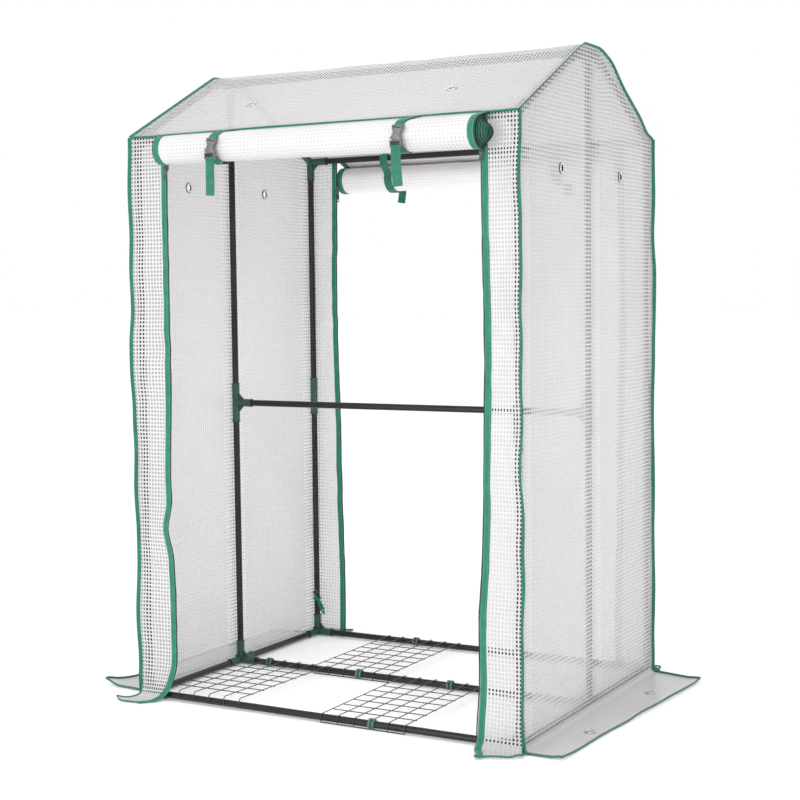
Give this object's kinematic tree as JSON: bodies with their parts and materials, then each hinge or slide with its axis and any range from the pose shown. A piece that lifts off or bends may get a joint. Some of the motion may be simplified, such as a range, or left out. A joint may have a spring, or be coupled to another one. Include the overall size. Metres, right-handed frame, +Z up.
{
  "type": "mini greenhouse",
  "caption": "Walk-in mini greenhouse: push-fit tube frame with base, posts and gabled roof under a mesh-reinforced film cover with roll-up doors, ground flaps and wire shelves.",
  "frame": {"origin": "on the ground, under the middle of the base frame", "axes": "+Z up, +X to the right along the door side, +Y from the front door to the rear door"},
  "size_m": [1.29, 0.949, 1.5073],
  "materials": {
    "tube_steel": "satin dark olive-grey powder coat on steel tube",
    "connector_plastic": "satin moulded dark green plastic",
    "clip_plastic": "satin moulded green plastic",
    "shelf_wire": "thin dark coating on welded wire",
    "mesh_sheet": "clear film with a white square scrim inside",
    "green_webbing": "woven green tape",
    "buckle_plastic": "satin moulded grey plastic",
    "eyelet_metal": "bright pressed ring",
    "zip_coil": "black coil on a dark green tape",
    "zip_slider": "dark grey-green enamelled slider"
  },
  "bodies": {
    "frame": {"bar_tees": "connector_plastic", "base_corner_connectors": "connector_plastic", "base_cross_bar_front": "tube_steel", "base_cross_bar_middle": "tube_steel", "base_cross_bar_rear": "tube_steel", "base_middle_connectors": "connector_plastic", "base_side_rails_left": "tube_steel", "base_side_rails_right": "tube_steel", "corner_post_front_left": "tube_steel", "corner_post_front_right": "tube_steel", "corner_post_rear_left": "tube_steel", "corner_post_rear_right": "tube_steel", "cover_eyelets": "eyelet_metal", "cover_tie": "green_webbing", "eave_bar_front": "tube_steel", "eave_bar_rear": "tube_steel", "eave_connectors": "connector_plastic", "middle_bar": "tube_steel", "middle_post_left": "tube_steel", "middle_post_right": "tube_steel", "post_couplers": "connector_plastic", "rafters_left": "tube_steel", "rafters_right": "tube_steel", "ridge_bar": "tube_steel", "ridge_connectors": "connector_plastic", "roof": "mesh_sheet", "shelf_clips": "clip_plastic", "shelf_front_left": "shelf_wire", "shelf_front_right": "shelf_wire", "shelf_rear": "shelf_wire", "strip_front_left": "mesh_sheet", "strip_front_right": "mesh_sheet", "strip_rear_left": "mesh_sheet", "strip_rear_right": "mesh_sheet", "wall_left": "mesh_sheet", "wall_right": "mesh_sheet", "zip_chains": "zip_coil"},
    "front_roll": {"door_roll_front": "mesh_sheet", "roll_straps_front": "green_webbing", "buckle_sockets_front": "buckle_plastic"},
    "rear_roll": {"door_roll_rear": "mesh_sheet", "roll_straps_rear": "green_webbing", "buckle_sockets_rear": "buckle_plastic"},
    "plug_front_left": {"buckle_plug_front_left": "buckle_plastic"},
    "plug_front_right": {"buckle_plug_front_right": "buckle_plastic"},
    "plug_rear_left": {"buckle_plug_rear_left": "buckle_plastic"},
    "plug_rear_right": {"buckle_plug_rear_right": "buckle_plastic"},
    "zip_front_left": {"zip_slider_front_left": "zip_slider"},
    "zip_front_right": {"zip_slider_front_right": "zip_slider"},
    "zip_rear_left": {"zip_slider_rear_left": "zip_slider"},
    "zip_rear_right": {"zip_slider_rear_right": "zip_slider"},
    "flap_left": {"skirt_left": "mesh_sheet", "skirt_eyelets_left": "eyelet_metal"},
    "flap_right": {"skirt_right": "mesh_sheet", "skirt_eyelets_right": "eyelet_metal"},
    "flap_front_left": {"skirt_front_left": "mesh_sheet"},
    "flap_front_right": {"skirt_front_right": "mesh_sheet"},
    "flap_rear_left": {"skirt_rear_left": "mesh_sheet"},
    "flap_rear_right": {"skirt_rear_right": "mesh_sheet"}
  },
  "joints": [
    {"name": "front_roll_swing", "type": "hinge", "parent": "frame", "child": "front_roll", "pos_m": [0, -0.39025, 1.328], "axis": [-1, 0, 0], "range_deg": [0, 60]},
    {"name": "rear_roll_swing", "type": "hinge", "parent": "frame", "child": "rear_roll", "pos_m": [0, 0.39025, 1.328], "axis": [1, 0, 0], "range_deg": [0, 60]},
    {"name": "plug_front_left_release", "type": "slide", "parent": "front_roll", "child": "plug_front_left", "axis": [0, 0, -1], "range_m": [0, 0.022]},
    {"name": "plug_front_right_release", "type": "slide", "parent": "front_roll", "child": "plug_front_right", "axis": [0, 0, -1], "range_m": [0, 0.022]},
    {"name": "plug_rear_left_release", "type": "slide", "parent": "rear_roll", "child": "plug_rear_left", "axis": [0, 0, -1], "range_m": [0, 0.022]},
    {"name": "plug_rear_right_release", "type": "slide", "parent": "rear_roll", "child": "plug_rear_right", "axis": [0, 0, -1], "range_m": [0, 0.022]},
    {"name": "zip_front_left_slide", "type": "slide", "parent": "frame", "child": "zip_front_left", "axis": [0, 0, -1], "range_m": [0, 1.12]},
    {"name": "zip_front_right_slide", "type": "slide", "parent": "frame", "child": "zip_front_right", "axis": [0, 0, -1], "range_m": [0, 1.12]},
    {"name": "zip_rear_left_slide", "type": "slide", "parent": "frame", "child": "zip_rear_left", "axis": [0, 0, -1], "range_m": [0, 1.12]},
    {"name": "zip_rear_right_slide", "type": "slide", "parent": "frame", "child": "zip_rear_right", "axis": [0, 0, -1], "range_m": [0, 1.12]},
    {"name": "flap_left_fold", "type": "hinge", "parent": "frame", "child": "flap_left", "pos_m": [-0.502, 0, 0.001], "axis": [0, 1, 0], "range_deg": [0, 85]},
    {"name": "flap_right_fold", "type": "hinge", "parent": "frame", "child": "flap_right", "pos_m": [0.502, 0, 0.001], "axis": [0, -1, 0], "range_deg": [0, 85]},
    {"name": "flap_front_left_fold", "type": "hinge", "parent": "frame", "child": "flap_front_left", "pos_m": [-0.454, -0.39, 0.001], "axis": [-1, 0, 0], "range_deg": [0, 85]},
    {"name": "flap_front_right_fold", "type": "hinge", "parent": "frame", "child": "flap_front_right", "pos_m": [0.454, -0.39, 0.001], "axis": [-1, 0, 0], "range_deg": [0, 85]},
    {"name": "flap_rear_left_fold", "type": "hinge", "parent": "frame", "child": "flap_rear_left", "pos_m": [-0.454, 0.39, 0.001], "axis": [1, 0, 0], "range_deg": [0, 85]},
    {"name": "flap_rear_right_fold", "type": "hinge", "parent": "frame", "child": "flap_rear_right", "pos_m": [0.454, 0.39, 0.001], "axis": [1, 0, 0], "range_deg": [0, 85]}
  ]
}
